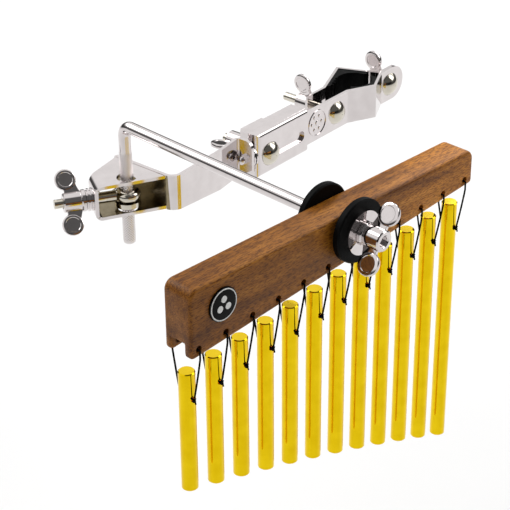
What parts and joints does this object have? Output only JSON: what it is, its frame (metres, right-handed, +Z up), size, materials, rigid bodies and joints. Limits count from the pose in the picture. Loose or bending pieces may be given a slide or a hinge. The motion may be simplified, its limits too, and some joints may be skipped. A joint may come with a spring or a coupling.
{
  "type": "clamp-mounted bar chimes",
  "caption": "Row of solid metal bars hung by cord loops from a tapered wooden beam, on a bent rod that a sheet-metal clamp holds to a stand pole.",
  "frame": {"origin": "axis of the stand pole at mid height of the clamp's jaws", "axes": "+Z up along the pole, +X along the wooden beam towards its thin end, +Y from the beam towards the clamp"},
  "size_m": [0.3872, 0.2514, 0.2151],
  "materials": {
    "wood": "satin",
    "gold": "gloss",
    "chrome": "gloss",
    "rubber": "satin",
    "cord": "matte",
    "badge": "gloss"
  },
  "bodies": {
    "clamp_frame": {"front_jaw": "chrome", "jaw_medallion": "chrome", "front_pad": "rubber", "jaw_bolt": "chrome", "end_bolt": "chrome", "slot_bolt": "chrome", "slot_clamp_plate": "chrome"},
    "rear_jaw": {"rear_jaw": "chrome", "rear_pad": "rubber"},
    "jaw_wing_nut": {"jaw_wing_nut": "chrome"},
    "end_wing_nut": {"end_wing_nut": "chrome"},
    "slot_wing_nut": {"slot_wing_nut": "chrome"},
    "arm": {"arm": "chrome", "arm_tooth_disc": "chrome", "hinge_bolt": "chrome", "hinge_nut": "chrome"},
    "bracket": {"bracket": "chrome", "bracket_tooth_disc": "chrome", "eye_spring_washers": "chrome"},
    "eye_bolt": {"eye_bolt": "chrome"},
    "eye_wing_nut": {"eye_wing_nut": "chrome"},
    "eye_collar": {"eye_collar": "chrome"},
    "rod": {"l_rod": "chrome", "rear_washer": "chrome", "flange_washer": "chrome"},
    "front_wing_nut": {"front_wing_nut": "chrome"},
    "beam": {"beam": "wood", "badge": "badge", "front_rubber_disc": "rubber", "rear_rubber_disc": "rubber"},
    "chime_01": {"chime_01": "gold", "cord_01": "cord"},
    "chime_02": {"chime_02": "gold", "cord_02": "cord"},
    "chime_03": {"chime_03": "gold", "cord_03": "cord"},
    "chime_04": {"chime_04": "gold", "cord_04": "cord"},
    "chime_05": {"chime_05": "gold", "cord_05": "cord"},
    "chime_06": {"chime_06": "gold", "cord_06": "cord"},
    "chime_07": {"chime_07": "gold", "cord_07": "cord"},
    "chime_08": {"chime_08": "gold", "cord_08": "cord"},
    "chime_09": {"chime_09": "gold", "cord_09": "cord"},
    "chime_10": {"chime_10": "gold", "cord_10": "cord"},
    "chime_11": {"chime_11": "gold", "cord_11": "cord"},
    "chime_12": {"chime_12": "gold", "cord_12": "cord"}
  },
  "joints": [
    {"name": "jaw_open", "type": "slide", "parent": "clamp_frame", "child": "rear_jaw", "axis": [-0.0872, 0.9962, 0], "range_m": [0, 0.006]},
    {"name": "jaw_nut_turn", "type": "hinge", "parent": "rear_jaw", "child": "jaw_wing_nut", "pos_m": [-0.03462, 0.01705, 0], "axis": [-0.0872, 0.9962, 0], "continuous": true},
    {"name": "end_nut_turn", "type": "hinge", "parent": "rear_jaw", "child": "end_wing_nut", "pos_m": [0.02854, 0.02257, 0], "axis": [-0.0872, 0.9962, 0], "range_deg": [-26, 26]},
    {"name": "slot_nut_turn", "type": "hinge", "parent": "clamp_frame", "child": "slot_wing_nut", "pos_m": [-0.11033, 0.01042, -0.0019], "axis": [-0.0872, 0.9962, 0], "continuous": true},
    {"name": "arm_slide", "type": "slide", "parent": "clamp_frame", "child": "arm", "axis": [-0.9962, -0.0872, 0], "range_m": [0, 0.033]},
    {"name": "bracket_tilt", "type": "hinge", "parent": "arm", "child": "bracket", "pos_m": [-0.1244, -0.01691, 0], "axis": [0.9962, 0.0872, 0], "range_deg": [-25, 25]},
    {"name": "eye_loosen", "type": "slide", "parent": "bracket", "child": "eye_bolt", "axis": [0.8829, -0.4695, 0], "range_m": [0, 0.0015]},
    {"name": "eye_nut_turn", "type": "hinge", "parent": "bracket", "child": "eye_wing_nut", "pos_m": [-0.21593, 0.00119, 0], "axis": [-0.8829, 0.4695, 0], "continuous": true},
    {"name": "rod_turn", "type": "hinge", "parent": "eye_bolt", "child": "eye_collar", "pos_m": [-0.21593, 0.00119, 0], "axis": [0, 0, 1], "range_deg": [-170, 30]},
    {"name": "rod_height", "type": "slide", "parent": "eye_collar", "child": "rod", "axis": [0, 0, 1], "range_m": [-0.018, 0.02]},
    {"name": "front_nut_turn", "type": "hinge", "parent": "rod", "child": "front_wing_nut", "pos_m": [-0.21593, -0.18082, 0.0487], "axis": [0, -1, 0], "continuous": true},
    {"name": "beam_tilt", "type": "hinge", "parent": "rod", "child": "beam", "pos_m": [-0.21593, -0.18082, 0.0487], "axis": [0, -1, 0], "range_deg": [-25, 25]},
    {"name": "swing_01", "type": "hinge", "parent": "beam", "child": "chime_01", "pos_m": [-0.33474, -0.18082, 0.02279], "axis": [0, -1, 0], "range_deg": [-25, 6.05]},
    {"name": "swing_02", "type": "hinge", "parent": "beam", "child": "chime_02", "pos_m": [-0.31481, -0.18082, 0.02447], "axis": [0, -1, 0], "range_deg": [-5.94, 5.61]},
    {"name": "swing_03", "type": "hinge", "parent": "beam", "child": "chime_03", "pos_m": [-0.29488, -0.18082, 0.02614], "axis": [0, -1, 0], "range_deg": [-5.52, 5.22]},
    {"name": "swing_04", "type": "hinge", "parent": "beam", "child": "chime_04", "pos_m": [-0.27495, -0.18082, 0.02782], "axis": [0, -1, 0], "range_deg": [-5.14, 4.88]},
    {"name": "swing_05", "type": "hinge", "parent": "beam", "child": "chime_05", "pos_m": [-0.25502, -0.18082, 0.02949], "axis": [0, -1, 0], "range_deg": [-4.81, 4.56]},
    {"name": "swing_06", "type": "hinge", "parent": "beam", "child": "chime_06", "pos_m": [-0.23509, -0.18082, 0.03116], "axis": [0, -1, 0], "range_deg": [-4.5, 4.28]},
    {"name": "swing_07", "type": "hinge", "parent": "beam", "child": "chime_07", "pos_m": [-0.21516, -0.18082, 0.03284], "axis": [0, -1, 0], "range_deg": [-4.23, 4.02]},
    {"name": "swing_08", "type": "hinge", "parent": "beam", "child": "chime_08", "pos_m": [-0.19523, -0.18082, 0.03451], "axis": [0, -1, 0], "range_deg": [-3.97, 3.79]},
    {"name": "swing_09", "type": "hinge", "parent": "beam", "child": "chime_09", "pos_m": [-0.1753, -0.18082, 0.03618], "axis": [0, -1, 0], "range_deg": [-3.75, 3.57]},
    {"name": "swing_10", "type": "hinge", "parent": "beam", "child": "chime_10", "pos_m": [-0.15537, -0.18082, 0.03786], "axis": [0, -1, 0], "range_deg": [-3.54, 3.38]},
    {"name": "swing_11", "type": "hinge", "parent": "beam", "child": "chime_11", "pos_m": [-0.13544, -0.18082, 0.03953], "axis": [0, -1, 0], "range_deg": [-3.34, 3.2]},
    {"name": "swing_12", "type": "hinge", "parent": "beam", "child": "chime_12", "pos_m": [-0.11551, -0.18082, 0.0412], "axis": [0, -1, 0], "range_deg": [-3.17, 25]}
  ]
}
